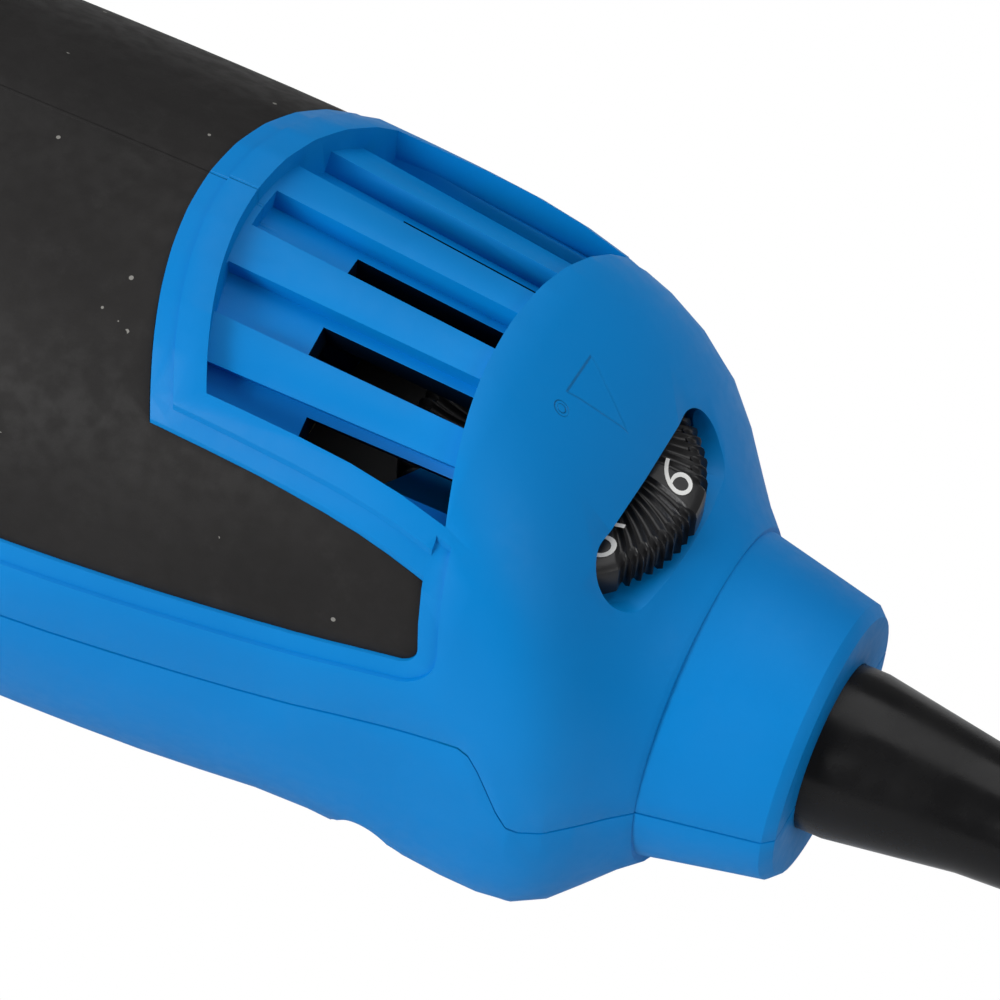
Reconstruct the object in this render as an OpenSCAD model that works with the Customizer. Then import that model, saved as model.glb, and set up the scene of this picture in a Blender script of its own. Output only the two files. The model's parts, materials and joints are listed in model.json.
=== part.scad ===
// Rotary hobby tool with a speed dial, its mains lead and plug.
// Origin at the collet's mouth, +X along the spindle towards the lead, +Z up.

/* [Housing] */
// Length of the moulded housing, nose ring to cord collar
case_l = 200; // [197:1:206]
// Largest radius of the housing
body_r = 25.6; // [25:0.1:26.4]
// Radius of the housing at the nose
nose_r = 13.6; // [13.2:0.1:14.4]
// Distance from the collet's mouth to the housing
nose_x = 22; // [21:0.5:24]
// Least wall of the housing
wall = 2.4; // [2:0.1:2.8]
// Gap that shows along the seam between the two halves
seam_gap = 0.2; // [0.1:0.05:0.3]
// Drop of the seam towards the cord collar
seam_drop = 7.5; // [6.5:0.5:8.5]
// Gap kept between pieces that must not touch
clear = 0.3; // [0.25:0.05:0.5]
// Gap between a piece and its seat
seat = 0.05; // [0.02:0.01:0.1]

/* [Grip] */
// Thickness of the soft grip
grip_t = 1.1; // [0.9:0.1:1.3]
// How far the grip lies below the hard surface
grip_sink = 0.6; // [0.3:0.1:0.8]
// Height of the grip's lower edge above the spindle line
grip_low = 6.7; // [6.2:0.1:8]
// Width of the bevelled border round the grip
grip_border = 1.6; // [1:0.1:2]

/* [Vent window] */
// Radius of the window's round front edge, seen from above
vent_r = 30.2; // [29.4:0.1:31]
// Length of the window along the middle
vent_l = 19.6; // [18.8:0.1:20.2]
// Radius of the hood's front edge, seen from above
hood_r = 43; // [40:1:60]
// Half width of the window
vent_w = 15; // [14:0.1:15.6]
// Width of the frame round the window
vent_frame = 3.9; // [3.4:0.1:4.1]
// Number of grooves between the louvres
vent_count = 5; // [3:1:6]
// Angle between two grooves
vent_pitch = 18; // [16:0.1:18.4]
// Width of a groove
vent_groove = 3.9; // [3.2:0.1:4.2]
// Width of the air slot in the floor of a groove
vent_slot = 2.4; // [1.8:0.1:3]
// Length of the middle air slot that shows ahead of the hood
slot_l = 12; // [10:0.1:13]
// Radius over the louvres
louvre_r = 24; // [23.4:0.1:24.2]
// How much lower the louvres lie at the hood than in front
louvre_drop = 3.2; // [2.8:0.1:3.4]
// Depth of a groove between two louvres
louvre_h = 1.9; // [1.4:0.1:2.2]

/* [Cord collar] */
// Radius of the collar where it leaves the body
collar_r = 13; // [12.5:0.1:13.5]
// Radius of the collar at its end
collar_end_r = 10.8; // [10.2:0.1:11.4]
// Length of the collar
collar_l = 10.6; // [10:0.2:12]

/* [Speed dial] */
// Radius of the dial's rim
dial_r = 11.2; // [10.8:0.1:11.4]
// Height of the dial's rim
dial_h = 2.9; // [2.6:0.1:3.2]
// How much the speed dial's top rises towards its middle
dial_crown = 0.8; // [0.6:0.1:0.9]
// Height of the dial's rim above the spindle line, at its foot
dial_z = 7.7; // [7.5:0.1:8]
// Distance of the dial's pin from the end of the collar
dial_back = 24.3; // [24:0.1:24.8]
// Width of the opening that the dial shows in
dial_slot_w = 18.8; // [18:0.1:19.6]
// Height of that opening
dial_slot_h = 5; // [4.6:0.1:5.2]
// Number of numbered flats round the dial
dial_marks = 6; // [4:1:8]
// Radius of the dial's pin
dial_pin_r = 3; // [2.5:0.1:3.4]

/* [Spindle] */
// Radius of the spindle
spindle_r = 4; // [3.6:0.1:4]
// Radius of the tool shank that the collet takes
shank_r = 1.6; // [1.2:0.1:1.7]
// Length of the collet's bore
shank_l = 16; // [14:0.5:17]
// Radius of the collet nut over its corners
nut_r = 6.2; // [5.8:0.1:6.4]
// Outer radius of the spindle's ball bearings
spindle_bearing_r = 8; // [7.4:0.1:8]
// Width of the spindle's ball bearings
spindle_bearing_w = 5; // [4:0.5:5]
// Radius of the accessory thread under the nose cap
thread_r = 9.5; // [9.3:0.1:9.8]
// Travel of the spindle lock button
lock_travel = 2; // [1.6:0.1:2.2]
// Radius of the spindle lock pin
lock_pin_r = 1.5; // [1.2:0.1:1.6]

/* [Motor] */
// Distance of the motor's iron ahead of the housing's middle
motor_ahead = 28; // [27:0.5:29]
// Length of the motor's iron
stack_l = 32; // [30:0.5:33]
// Outer radius of the field's iron
field_r = 19; // [18.4:0.1:19.2]
// Outer radius of the armature's iron
armature_r = 11.5; // [11:0.1:11.8]
// Air gap between armature and field
air_gap = 0.6; // [0.4:0.05:0.8]
// Radius of the armature's shaft
shaft_r = 2.5; // [2.3:0.1:2.5]
// Outer radius of the armature's ball bearings
motor_bearing_r = 8; // [7.5:0.1:8.2]
// Radius of the fan
fan_r = 16; // [15:0.1:16.4]
// Number of blades on the fan
fan_blades = 9; // [7:1:12]
// Radius of the commutator
commutator_r = 8; // [7.5:0.1:8]
// Width of a carbon brush
brush_w = 5; // [4.4:0.1:5]

/* [Slide switch] */
// Travel of the switch knob
switch_travel = 4; // [3:0.5:4.5]
// Length of the switch knob
switch_l = 12; // [11:0.5:13]
// Width of the switch knob
switch_w = 8.8; // [8:0.2:9.4]

/* [Screws] */
// Radius of the case screws
screw_r = 1.4; // [1.2:0.1:1.5]
// Radius of the case screws' heads
screw_head_r = 2.7; // [2.4:0.1:2.8]

/* [Mains lead] */
// Diameter of the lead
cord_d = 6.4; // [6:0.1:6.6]
// Length of the bend sleeve outside the collar
sleeve_l = 40; // [36:1:42]
// Radius of the bend sleeve at the collar
sleeve_r = 6.5; // [6.2:0.1:7]
// Length of the straight runs in the hank
run_l = 48; // [46:1:48]
// Inner radius of the hank's folds, at the lead's centre
fold_r = 19.2; // [19:0.1:19.6]
// Radius of a plug pin
pin_r = 2.4; // [2.2:0.1:2.5]
// Distance between the plug pins
pin_gap = 19; // [18:0.5:20]
// Length of a plug pin
pin_l = 19; // [17:0.5:20]

/* [Hidden] */
$fn = 96;
e = 0.01;

end_x = nose_x + case_l;
collar_x = end_x - collar_l;
cord_z = -seam_drop;
cord_r = cord_d / 2;
floor_z = -body_r - 0.1;

// Cross-sections of the housing: distance along X, half width, top, bottom,
// height of the widest point, and how square the corners are (2 is round).
SECTIONS = [
    [nose_x, nose_r, nose_r, nose_r, 0, 2],
    [nose_x + 12, nose_r + 0.5, nose_r + 0.5, nose_r + 0.5, 0, 2],
    [nose_x + 30, nose_r + 2.3, nose_r + 2.3, nose_r + 2.3, 0, 2],
    [nose_x + 50, nose_r + 5.6, nose_r + 5.6, nose_r + 5.6, 0, 2],
    [nose_x + 0.34 * case_l, body_r - 3, body_r - 3, body_r - 3, 0, 2],
    [nose_x + 0.43 * case_l, body_r - 1.1, body_r - 1.1, body_r - 1.1, 0, 2],
    [nose_x + 0.53 * case_l, body_r - 0.1, body_r - 0.1, body_r - 0.1, 0, 2],
    [end_x - 72, body_r, body_r, body_r, 0, 2],
    [end_x - 57, body_r - 0.6, body_r - 0.1, body_r - 0.2, 0, 2.05],
    [end_x - 46, body_r - 1.8, body_r - 0.4, body_r - 0.6, 0, 2.15],
    [end_x - 35, body_r - 3.5, body_r - 0.9, body_r - 1, 0, 2.25],
    [end_x - 27, body_r - 5.2, body_r - 4.4, body_r - 1.6, -1.5, 2.8],
    [end_x - 21.4, body_r - 6, body_r - 8.6, body_r - 2.3, -4, 3.3],
    [end_x - 17.6, body_r - 6.4, body_r - 12.8, body_r - 2.9, -6.4, 3.3],
    [end_x - 14.5, body_r - 8, body_r - 17, body_r - 3.5, cord_z, 2.9],
    [end_x - 12.2, body_r - 10.5, body_r - 18.9, body_r - 4.1, cord_z, 2.4],
    [collar_x + 0.6, collar_r + e, collar_r + cord_z + e, body_r - 4.6, cord_z, 2.1]
];
RINGS = 34;
SIDES = 44;
HIDDEN_RINGS = 20;
HIDDEN_SIDES = 32;

// A smooth value of column c of the table at x, by cubic pieces through its rows.
function slope(k, c) =
    let (n = len(SECTIONS) - 1, a = SECTIONS[max(k - 1, 0)], b = SECTIONS[min(k + 1, n)])
    (b[c] - a[c]) / (b[0] - a[0]);
function row_at(x, k = 0) =
    k >= len(SECTIONS) - 2 || x < SECTIONS[k + 1][0] ? k : row_at(x, k + 1);
function at(x, c) =
    let (k = row_at(x), a = SECTIONS[k], b = SECTIONS[k + 1], w = b[0] - a[0], t = (x - a[0]) / w)
    (2 * t ^ 3 - 3 * t ^ 2 + 1) * a[c] + (t ^ 3 - 2 * t ^ 2 + t) * w * slope(k, c)
        + (3 * t ^ 2 - 2 * t ^ 3) * b[c] + (t ^ 3 - t ^ 2) * w * slope(k + 1, c);

// One ring of the housing's surface, moved outwards by off.
function power(v, n) = sign(v) * abs(v) ^ (2 / n);
function ring(x, off, sides) =
    let (a = at(x, 1) + off, t = at(x, 2) - at(x, 4) + off, b = at(x, 3) + at(x, 4) + off, n = at(x, 5))
    [for (k = [0:sides - 1])
        let (q = 360 * k / sides)
        [x, a * power(cos(q), n), at(x, 4) + (q < 180 ? t : b) * power(sin(q), n)]];

// Rings lie closer together towards the tail, where the form turns fastest.
function ring_x(t, x0, x1) = x0 + (x1 - x0) * (1 - (1 - t) ^ 1.7);

module loft(off = 0, x0 = nose_x, x1 = collar_x + 0.6, n = RINGS, m = SIDES) {
    points = [for (k = [0:n]) each ring(ring_x(k / n, x0, x1), off, m)];
    walls = [for (k = [0:n - 1], j = [0:m - 1])
        let (a = k * m + j, b = k * m + (j + 1) % m)
        each [[a, a + m, b + m], [a, b + m, b]]];
    ends = [[for (j = [0:m - 1]) j], [for (j = [m - 1:-1:0]) n * m + j]];
    polyhedron(points, concat(walls, ends), convexity = 6);
}
// The hidden face that the grip lies on, with coarser facets.
module grip_bed(off) {
    loft(off, nose_x + 10, end_x - 22, HIDDEN_RINGS, HIDDEN_SIDES);
}

// A solid of revolution about the spindle line, from [x, radius] points.
module turned(points) {
    rotate([0, 90, 0]) rotate_extrude() polygon([for (p = points) [p[1], p[0]]]);
}
module rod(x0, x1, r, y = 0, z = 0) {
    translate([x0, y, z]) rotate([0, 90, 0]) cylinder(r = r, h = x1 - x0);
}
module tube(x0, x1, r, bore, y = 0, z = 0) {
    difference() {
        rod(x0, x1, r, y, z);
        rod(x0 - 1, x1 + 1, bore, y, z);
    }
}
module block(x0, x1, y0, y1, z0, z1) {
    translate([x0, y0, z0]) cube([x1 - x0, y1 - y0, z1 - z0]);
}

// ---- places along the spindle line ----
lock_x = nose_x + 19;
front_bearing_x = nose_x + 6;
ring_end = front_bearing_x + spindle_bearing_w + 1.4;
spindle_bearing_x = nose_x + 28;
coupling_x = spindle_bearing_x + spindle_bearing_w + 4;
motor_x = (nose_x + end_x) / 2 - motor_ahead;
motor_front_x = motor_x - 20;
coupling_end = motor_front_x - 4;
coupling_mid = (coupling_x + coupling_end) / 2 - 1.5;
fan_x = motor_x - 11;
stack_end = motor_x + stack_l;
commutator_x = stack_end + 4.5;
brush_x = commutator_x + 6;
rear_bearing_x = commutator_x + 19;
bearing_w = 5;
// Radius of the room round the spindle.
room_r = 8.8;
vent_x = end_x - 29.5;
vent_cx = vent_x - vent_l + vent_r;
dial_x = end_x - dial_back;
slot_x = end_x - 18.3;
module_x = end_x - 43;
module_z = -4;
capacitor_x = end_x - 50;
capacitor_z = -15;

// ---- the seam ----
// Height of the seam along X: flat, then an S-shaped step down to the lead's line.
seam_x = end_x - 21.6;
seam_l = 5;
clamp_x = seam_x + seam_l;
SEAM = concat(
    [[-10, 0], [seam_x, 0]],
    [for (q = [15:15:75]) [seam_x + seam_l * q / 90, -seam_drop * (1 - cos(2 * q)) / 2]],
    [[seam_x + seam_l, -seam_drop], [end_x + 10, -seam_drop]]
);
module above_seam(gap = 0) {
    rotate([90, 0, 0])
        linear_extrude(height = 80, center = true)
            polygon(concat([for (p = SEAM) p + [0, gap]], [[end_x + 10, 60], [-10, 60]]));
}
module below_seam() {
    rotate([90, 0, 0])
        linear_extrude(height = 80, center = true)
            polygon(concat(SEAM, [[end_x + 10, -60], [-10, -60]]));
}

// ---- the housing ----
module collar_cone() {
    translate([0, 0, cord_z])
        turned([[collar_x - 6, 0], [collar_x - 6, collar_r], [collar_x, collar_r],
                [end_x - 0.8, collar_end_r + 0.15], [end_x, collar_end_r - 0.6], [end_x, 0]]);
}
module tail_lobe() {
    hull() {
        translate([end_x - 24, 0, cord_z - 3]) sphere(r = 12, $fn = 32);
        translate([end_x - 13.4, 0, floor_z + 12.6]) sphere(r = 9, $fn = 32);
    }
}

// Space inside the housing: seats for the bearings, room for the motor and the wiring.
module cavity() {
    b = spindle_bearing_r + seat;
    m = motor_bearing_r + seat;
    turned([
        [nose_x - 1, 0], [nose_x - 1, thread_r + 0.1], [nose_x + 2, thread_r + 0.1],
        [nose_x + 2, thread_r + 1.8 + seat], [ring_end + seat, thread_r + 1.8 + seat],
        [ring_end + seat, room_r], [spindle_bearing_x - 2, room_r], [spindle_bearing_x - 2, 6.4],
        [spindle_bearing_x - seat, 6.4], [spindle_bearing_x - seat, b],
        [spindle_bearing_x + spindle_bearing_w + seat, b],
        [spindle_bearing_x + spindle_bearing_w + seat, 6.4],
        [coupling_x - 2, 6.4], [coupling_x - 2, 8.4], [motor_front_x - 3, 8.4],
        [motor_front_x - 3, 6], [motor_front_x - seat, 6], [motor_front_x - seat, m],
        [motor_front_x + bearing_w + seat, m], [motor_front_x + bearing_w + seat, 6],
        [motor_front_x + bearing_w + 1.8, 6],
        [motor_front_x + bearing_w + 1.8, fan_r + 1.2], [motor_x - seat, fan_r + 1.2], [motor_x - seat, field_r + seat],
        [rear_bearing_x - 4, field_r + seat], [rear_bearing_x - 4, motor_bearing_r - 1.6],
        [rear_bearing_x - seat, motor_bearing_r - 1.6], [rear_bearing_x - seat, m + 1.2],
        [rear_bearing_x + bearing_w + seat, m + 1.2],
        [rear_bearing_x + bearing_w + seat, motor_bearing_r - 1.6],
        [rear_bearing_x + bearing_w + 3, motor_bearing_r - 1.6],
        [rear_bearing_x + bearing_w + 3, 19.8], [end_x - 38, 19.8], [end_x - 30, 12.2],
        [end_x - 18.8, 12.2], [end_x - 18.8, 0]
    ]);
    for (q = [30:60:330])
        rotate([q, 0, 0]) rod(rear_bearing_x - 5, rear_bearing_x + bearing_w + 4, 3, 0, 14);
}
// Room for the lead, its clamp and the foot of its sleeve.
module cord_way() {
    rod(end_x - 20, end_x + 1, sleeve_r + seat, 0, cord_z);
    rod(end_x - 6 - seat, end_x - 4 + seat, sleeve_r + 1.6, 0, cord_z);
}
// The opening behind the dial, seen along the spindle line: long, with round ends.
dial_gap = 0.4;
module dial_slot_plan() {
    r = dial_slot_h / 2;
    translate([0, dial_z - dial_gap + r])
        hull()
            for (s = [-1, 1]) translate([s * (dial_slot_w / 2 - r), 0]) circle(r = r, $fn = 48);
}
// Room for the dial, open to the rear where its rim stands out.
module dial_room() {
    r = dial_r + dial_gap;
    low = dial_z - dial_gap;
    top = dial_z + dial_h + dial_gap;
    translate([dial_x, 0, 0])
        rotate_extrude()
            polygon([[0, low], [r, low], [r, top], [4, top + dial_crown], [0, top + dial_crown]]);
    translate([slot_x - 1, 0, 0]) rotate([90, 0, 90]) linear_extrude(height = 12) dial_slot_plan();
}
// A case screw's places: along X, across Y, and the height of its head's seat.
SCREWS = [
    for (s = [-1, 1]) [nose_x + 42, 12 * s, -6],
    for (s = [-1, 1]) [rear_bearing_x + 2.5, 20 * s, -8],
    for (s = [-1, 1]) [end_x - 29, 16 * s, -10]
];
SCREW_REACH = 6;
module screw_bores() {
    for (p = SCREWS)
        translate([p[0], p[1], p[2]]) {
            cylinder(r = screw_r + 0.02, h = SCREW_REACH - p[2] + 0.4);
            translate([0, 0, -30]) cylinder(r = screw_head_r + 0.3, h = 30);
        }
}
module brush_bores() {
    rotate([90, 0, 0]) translate([brush_x, 0, -40]) cylinder(r = brush_w / 2 + 1.35 + seat, h = 80);
    for (s = [-1, 1])
        rotate([90 * s, 0, 0]) translate([brush_x, 0, body_r - 1.6]) cylinder(r = 4.6, h = 10);
}

// Plan of the vent window: a wide round front, straight flanks and the hood's round edge behind.
flank = 2.2 / vent_frame;
module vent_plan(grow = 0, back = 0) {
    difference() {
        intersection() {
            translate([vent_cx, 0]) circle(r = vent_r + grow, $fn = 180);
            translate([vent_x - 40, -vent_w - grow * flank])
                square([43 + back, 2 * (vent_w + grow * flank)]);
        }
        translate([vent_x + back + hood_r, 0]) circle(r = hood_r, $fn = 180);
    }
}
function groove_angles() = [for (k = [0:vent_count - 1]) (k - (vent_count - 1) / 2) * vent_pitch];

module louvres() {
    front_x = vent_x - vent_l - 1.5;
    back_x = vent_x + 5;
    inner_r = louvre_r - louvre_h - 2.3;
    difference() {
        intersection() {
            turned([[front_x, inner_r], [front_x, louvre_r],
                    [back_x, louvre_r - louvre_drop], [back_x, inner_r - louvre_drop]]);
            linear_extrude(height = 40) vent_plan(1, 1.6);
        }
        for (q = groove_angles())
            rotate([q, 0, 0]) {
                translate([front_x, 0, louvre_r - louvre_h])
                    rotate([0, atan(louvre_drop / (back_x - front_x)), 0])
                        linear_extrude(height = 6)
                            translate([-front_x, 0])
                                intersection() {
                                    translate([vent_cx, 0]) circle(r = vent_r - 0.3, $fn = 180);
                                    translate([vent_x - 40, -vent_groove / 2]) square([48, vent_groove]);
                                }
                block(vent_x - slot_l + 13 * (1 - cos(q)), vent_x + 6, -vent_slot / 2, vent_slot / 2, 15, 30);
            }
    }
}

grip_end = end_x - 27.9;
// Where the grip lies: the top and flanks ahead of the vent, and a finger along each flank.
module grip_zone(grow = 0) {
    difference() {
        rotate([90, 0, 0])
            linear_extrude(height = 80, center = true)
                offset(r = 1.2 + grow, $fn = 32)
                    polygon([
                        [nose_x + 28, grip_low + 5], [nose_x + 36, grip_low + 1.2],
                        [grip_end + 1, grip_low + 1.2], [grip_end - 1, 20],
                        [grip_end - 1, 40], [nose_x + 28, 40]
                    ]);
        translate([0, 0, 10])
            linear_extrude(height = 40) {
                vent_plan(vent_frame - grow, 0);
                translate([vent_x - 4, -vent_w - 2.2 + grow]) square([40, 2 * (vent_w + 2.2 - grow)]);
            }
        switch_track(-grow);
    }
}
// The long recess on the back that the switch knob runs in.
switch_x = brush_x + 4 - switch_l / 2;
module switch_track(grow = 0) {
    block(switch_x - switch_travel - 1.2 - grow, switch_x + switch_l + 1.2 + grow,
          -switch_w / 2 - 0.8 - grow, switch_w / 2 + 0.8 + grow, body_r - 2, body_r + 10);
}
module switch_slot() {
    block(switch_x + switch_l / 2 - 1.4 - switch_travel, switch_x + switch_l / 2 + 1.4, -2, 2, 10, 40);
}
module lock_bore() {
    translate([lock_x, 0, 0]) cylinder(r = 5 + 0.08, h = 40);
}

module case_outside() {
    loft();
    collar_cone();
}

module top_shell() color("dodgerblue") {
    difference() {
        intersection() {
            case_outside();
            above_seam(seam_gap);
        }
        cavity();
        cord_way();
        clamp_room();
        dial_room();
        screw_bores();
        brush_bores();
        switch_slot();
        lock_bore();
        switch_track();
        translate([0, 0, 12]) linear_extrude(height = 30) vent_plan(0, 0.6);
        difference() {
            grip_zone(seat);
            grip_bed(-grip_sink - grip_t - seat);
        }
        difference() {
            grip_zone(grip_border);
            loft(-grip_sink * 0.6, nose_x + 10, end_x - 20);
        }
        lock_seat();
    }
    louvres();
    lock_shelf();
}

module bottom_shell() color("dodgerblue") {
    difference() {
        union() {
            intersection() {
                case_outside();
                below_seam();
            }
            intersection() {
                tail_lobe();
                block(end_x - 40, end_x, -30, 30, -60, -seam_drop - 4);
            }
        }
        cavity();
        difference() {
            cord_way();
            saddle();
        }
        rod(end_x - 30, end_x, cord_r + seat, 0, cord_z);
        screw_bores();
        brush_bores();
        clamp_bores();
        exhaust_slots();
    }
    posts();
}
// Posts that carry the speed module and the capacitor.
module posts() {
    for (s = [-1, 1]) {
        translate([end_x - 24, 6 * s, -13]) cylinder(r = 1.8, h = 9);
        translate([capacitor_x + 3, 6 * s, -21]) cylinder(r = 1.8, h = 21 + capacitor_z);
        translate([capacitor_x + 9, 6 * s, -21]) cylinder(r = 1.8, h = 21 + capacitor_z);
    }
}
// Room over the saddle for the clamp and its screws.
module clamp_room() {
    block(clamp_x - 0.4, clamp_x + 5.4, -9.4, 9.4, cord_z, 0.6);
}
// The block that the lead is clamped on.
module saddle() {
    block(clamp_x, clamp_x + 5, -9.5, 9.5, -40, cord_z - 0.4);
}
module clamp_bores() {
    for (s = [-1, 1])
        translate([clamp_x + 2.5, 6.4 * s, cord_z - 7]) cylinder(r = 1.32, h = 20);
}
module exhaust_slots() {
    for (q = [110:20:250])
        rotate([q, 0, 0]) block(fan_x - 1, fan_x + 8, -1.1, 1.1, fan_r, body_r + 5);
}

module grip() color("dimgray") {
    difference() {
        intersection() {
            loft(-grip_sink, nose_x + 10, end_x - 23);
            grip_zone();
        }
        grip_bed(-grip_sink - grip_t);
    }
}

// ---- nose, collet and spindle ----
module nose_ring() color("dimgray") {
    b = spindle_bearing_r + seat;
    turned([
        [nose_x - 9, 8.3], [nose_x - 9, thread_r - 0.6], [nose_x - 8.4, thread_r],
        [nose_x + 2 + seat, thread_r], [nose_x + 2 + seat, thread_r + 1.8],
        [ring_end, thread_r + 1.8], [ring_end, b], [front_bearing_x, b],
        [front_bearing_x, 7], [front_bearing_x - 1.2, 7], [front_bearing_x - 1.2, 8.3]
    ]);
}
module nose_cap() color("dimgray") {
    difference() {
        turned([
            [nose_x - 14, 7.4], [nose_x - 14, 9.2], [nose_x - 13, 10], [nose_x - 3, nose_r - 0.9],
            [nose_x - clear, nose_r - 0.7], [nose_x - clear, thread_r + seat],
            [nose_x - 10, thread_r + seat], [nose_x - 10, 8.6], [nose_x - 12, 7.4]
        ]);
        for (q = [0:30:330])
            rotate([q, 0, 0]) rod(nose_x - 12, nose_x - 3.5, 1, 0, nose_r + 0.1);
    }
}
module collet() color("silver") {
    difference() {
        turned([[0, 0], [0, 2.2], [2.4, 3.4], [7, 3], [shank_l, 2.6], [shank_l, 0]]);
        rod(-1, shank_l + 1, shank_r);
        for (q = [0, 90]) rotate([q, 0, 0]) block(-1, 11, -0.2, 0.2, -5, 5);
    }
}
module collet_nut() color("silver") {
    difference() {
        intersection() {
            rod(0.4, 12, nut_r);
            translate([0.4, 0, 0]) rotate([0, 90, 0]) cylinder(r = nut_r + 0.35, h = 12, $fn = 6);
            turned([[0.4, 0], [0.4, nut_r - 1.6], [2.4, nut_r + 1], [12, nut_r + 1], [12, 0]]);
        }
        turned([[0, 0], [0, 2.5], [0.3, 2.5], [2.4, 3.5], [4.4, 3.5], [4.4, spindle_r + 0.06],
                [13, spindle_r + 0.06], [13, 0]]);
    }
}
module spindle() color("silver") {
    difference() {
        union() {
            rod(4.7, coupling_mid - 0.5, spindle_r);
            rod(front_bearing_x + spindle_bearing_w + seat, lock_x - 3, spindle_r + 0.7);
            rod(lock_x + 3, spindle_bearing_x - seat, spindle_r + 0.7);
        }
        turned([[4, 0], [4, 3.5], [7, 3.08], [shank_l + 2, 2.66], [shank_l + 2, 0]]);
    }
}
// The notched collar that the lock's pin drops into.
module lock_collar() color("silver") {
    difference() {
        tube(lock_x - 3 + seat, lock_x + 3 - seat, collar_out, spindle_r + 0.02);
        for (q = [0:90:270])
            rotate([q, 0, 0])
                block(lock_x - 5, lock_x + 5, -lock_pin_r - 0.3, lock_pin_r + 0.3,
                      collar_out - lock_travel - 0.1 + clear, collar_out + 2);
    }
}
// A ball bearing: two races and its balls as one sealed piece.
module bearing(x, r, bore, w) {
    difference() {
        tube(x, x + w, r - seat, bore + 0.02);
        for (s = [-1, 1])
            translate([x + w / 2 + s * w / 2, 0, 0]) rotate([0, 90, 0])
                difference() {
                    cylinder(r = (r + bore) / 2 + 1.1, h = 0.8, center = true);
                    cylinder(r = (r + bore) / 2 - 1.1, h = 2, center = true);
                }
    }
}
module front_bearing() color("silver")
    bearing(front_bearing_x + seat, spindle_bearing_r, spindle_r + 0.02, spindle_bearing_w);
module spindle_bearing() color("silver")
    bearing(spindle_bearing_x, spindle_bearing_r, spindle_r + 0.02, spindle_bearing_w);
module coupling() color("dimgray") {
    difference() {
        rod(coupling_x, coupling_end, 6.5);
        rod(coupling_x - 1, coupling_mid, spindle_r + 0.02);
        rod(coupling_mid - e, motor_front_x, shaft_r + 0.02);
        for (q = [0:45:315]) rotate([q, 0, 0]) rod(coupling_x - 1, motor_front_x, 0.9, 0, 6.9);
    }
}

// ---- motor ----
module armature_shaft() color("silver") rod(coupling_mid + 0.5, rear_bearing_x + bearing_w + 1, shaft_r);
module armature_core() color("slategray") {
    difference() {
        rod(motor_x + 2, stack_end - 2, armature_r);
        rod(motor_x, stack_end, shaft_r + 0.02);
        for (q = [0:30:330])
            rotate([q, 0, 0]) {
                block(motor_x, stack_end, -0.8, 0.8, armature_r - 2, armature_r + 1);
                rod(motor_x, stack_end, 1.7, 0, armature_r - 3.2);
            }
    }
}
module armature_winding() color("peru") {
    for (side = [[motor_x - 4, motor_x + 2], [stack_end - 2, stack_end + 3.5]])
        difference() {
            turned([[side[0], shaft_r + 0.02], [side[0], 8], [(side[0] + side[1]) / 2, armature_r - 1],
                    [side[1], armature_r - 1], [side[1], shaft_r + 0.02]]);
            for (q = [0:30:330])
                rotate([q + 15, 0, 0]) rod(side[0] - 1, side[1] + 1, 1.2, 0, armature_r - 0.4);
        }
}
module commutator() color("peru") {
    difference() {
        rod(commutator_x, commutator_x + 12, commutator_r);
        rod(commutator_x - 1, commutator_x + 13, shaft_r + 0.02);
        for (q = [0:15:345])
            rotate([q, 0, 0]) block(commutator_x + 1.5, commutator_x + 13, -0.2, 0.2, 7, 9);
    }
    tube(commutator_x, commutator_x + 1.5, commutator_r + 1, shaft_r + 0.02);
}
module fan() color("whitesmoke") {
    tube(fan_x, fan_x + 6, 5, shaft_r + 0.02);
    tube(fan_x, fan_x + 1.4, fan_r, 4.5);
    for (k = [0:fan_blades - 1])
        rotate([360 * k / fan_blades, 0, 0]) block(fan_x + 1.3, fan_x + 5.6, -0.6, 0.6, 4.6, fan_r - 0.4);
}
module motor_front_bearing() color("silver")
    bearing(motor_front_x, motor_bearing_r, shaft_r + 0.02, bearing_w);
module motor_rear_bearing() color("silver")
    bearing(rear_bearing_x, motor_bearing_r, shaft_r + 0.02, bearing_w);
module bearing_boot() color("dimgray")
    tube(rear_bearing_x, rear_bearing_x + bearing_w, motor_bearing_r + 1.2, motor_bearing_r);
module field_core() color("slategray") {
    bore = armature_r + air_gap;
    difference() {
        rod(motor_x, stack_end, field_r);
        rod(motor_x - 1, stack_end + 1, bore);
        for (s = [-1, 1])
            rotate([90 + 90 * s, 0, 0])
                intersection() {
                    tube(motor_x - 1, stack_end + 1, field_r - 2.4, bore - 1);
                    block(motor_x - 2, stack_end + 2, -6.5, 6.5, 0, 30);
                }
    }
}
module field_winding() color("peru") {
    bore = armature_r + air_gap;
    for (s = [-1, 1])
        rotate([90 + 90 * s, 0, 0])
            intersection() {
                tube(motor_x - 2.5, stack_end + 2.5, field_r - 2.8, bore + 0.5);
                block(motor_x - 3, stack_end + 3, -6.1, 6.1, 0, 30);
            }
}
module brush_holders() color("goldenrod") {
    for (s = [-1, 1])
        rotate([90 * s, 0, 0])
            translate([brush_x, 0, 0])
                difference() {
                    translate([0, 0, 9.6]) cylinder(r = brush_w / 2 + 1.35, h = body_r - 11.6);
                    cube([brush_w + 0.1, brush_w - 1, 60], center = true);
                }
}
module brushes() color("black") {
    for (s = [-1, 1])
        rotate([90 * s, 0, 0])
            translate([brush_x - brush_w / 2, -(brush_w - 1.1) / 2, commutator_r + clear])
                cube([brush_w, brush_w - 1.1, 8]);
}
brush_end = commutator_r + clear + 8;
module brush_springs() color("silver") {
    for (s = [-1, 1])
        rotate([90 * s, 0, 0])
            translate([brush_x, 0, brush_end])
                for (k = [0:7])
                    translate([0, 0, 0.4 + k * (body_r - 1.6 - brush_end - 0.8) / 7])
                        rotate_extrude() translate([1.35, 0]) circle(r = 0.3, $fn = 16);
}
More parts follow.
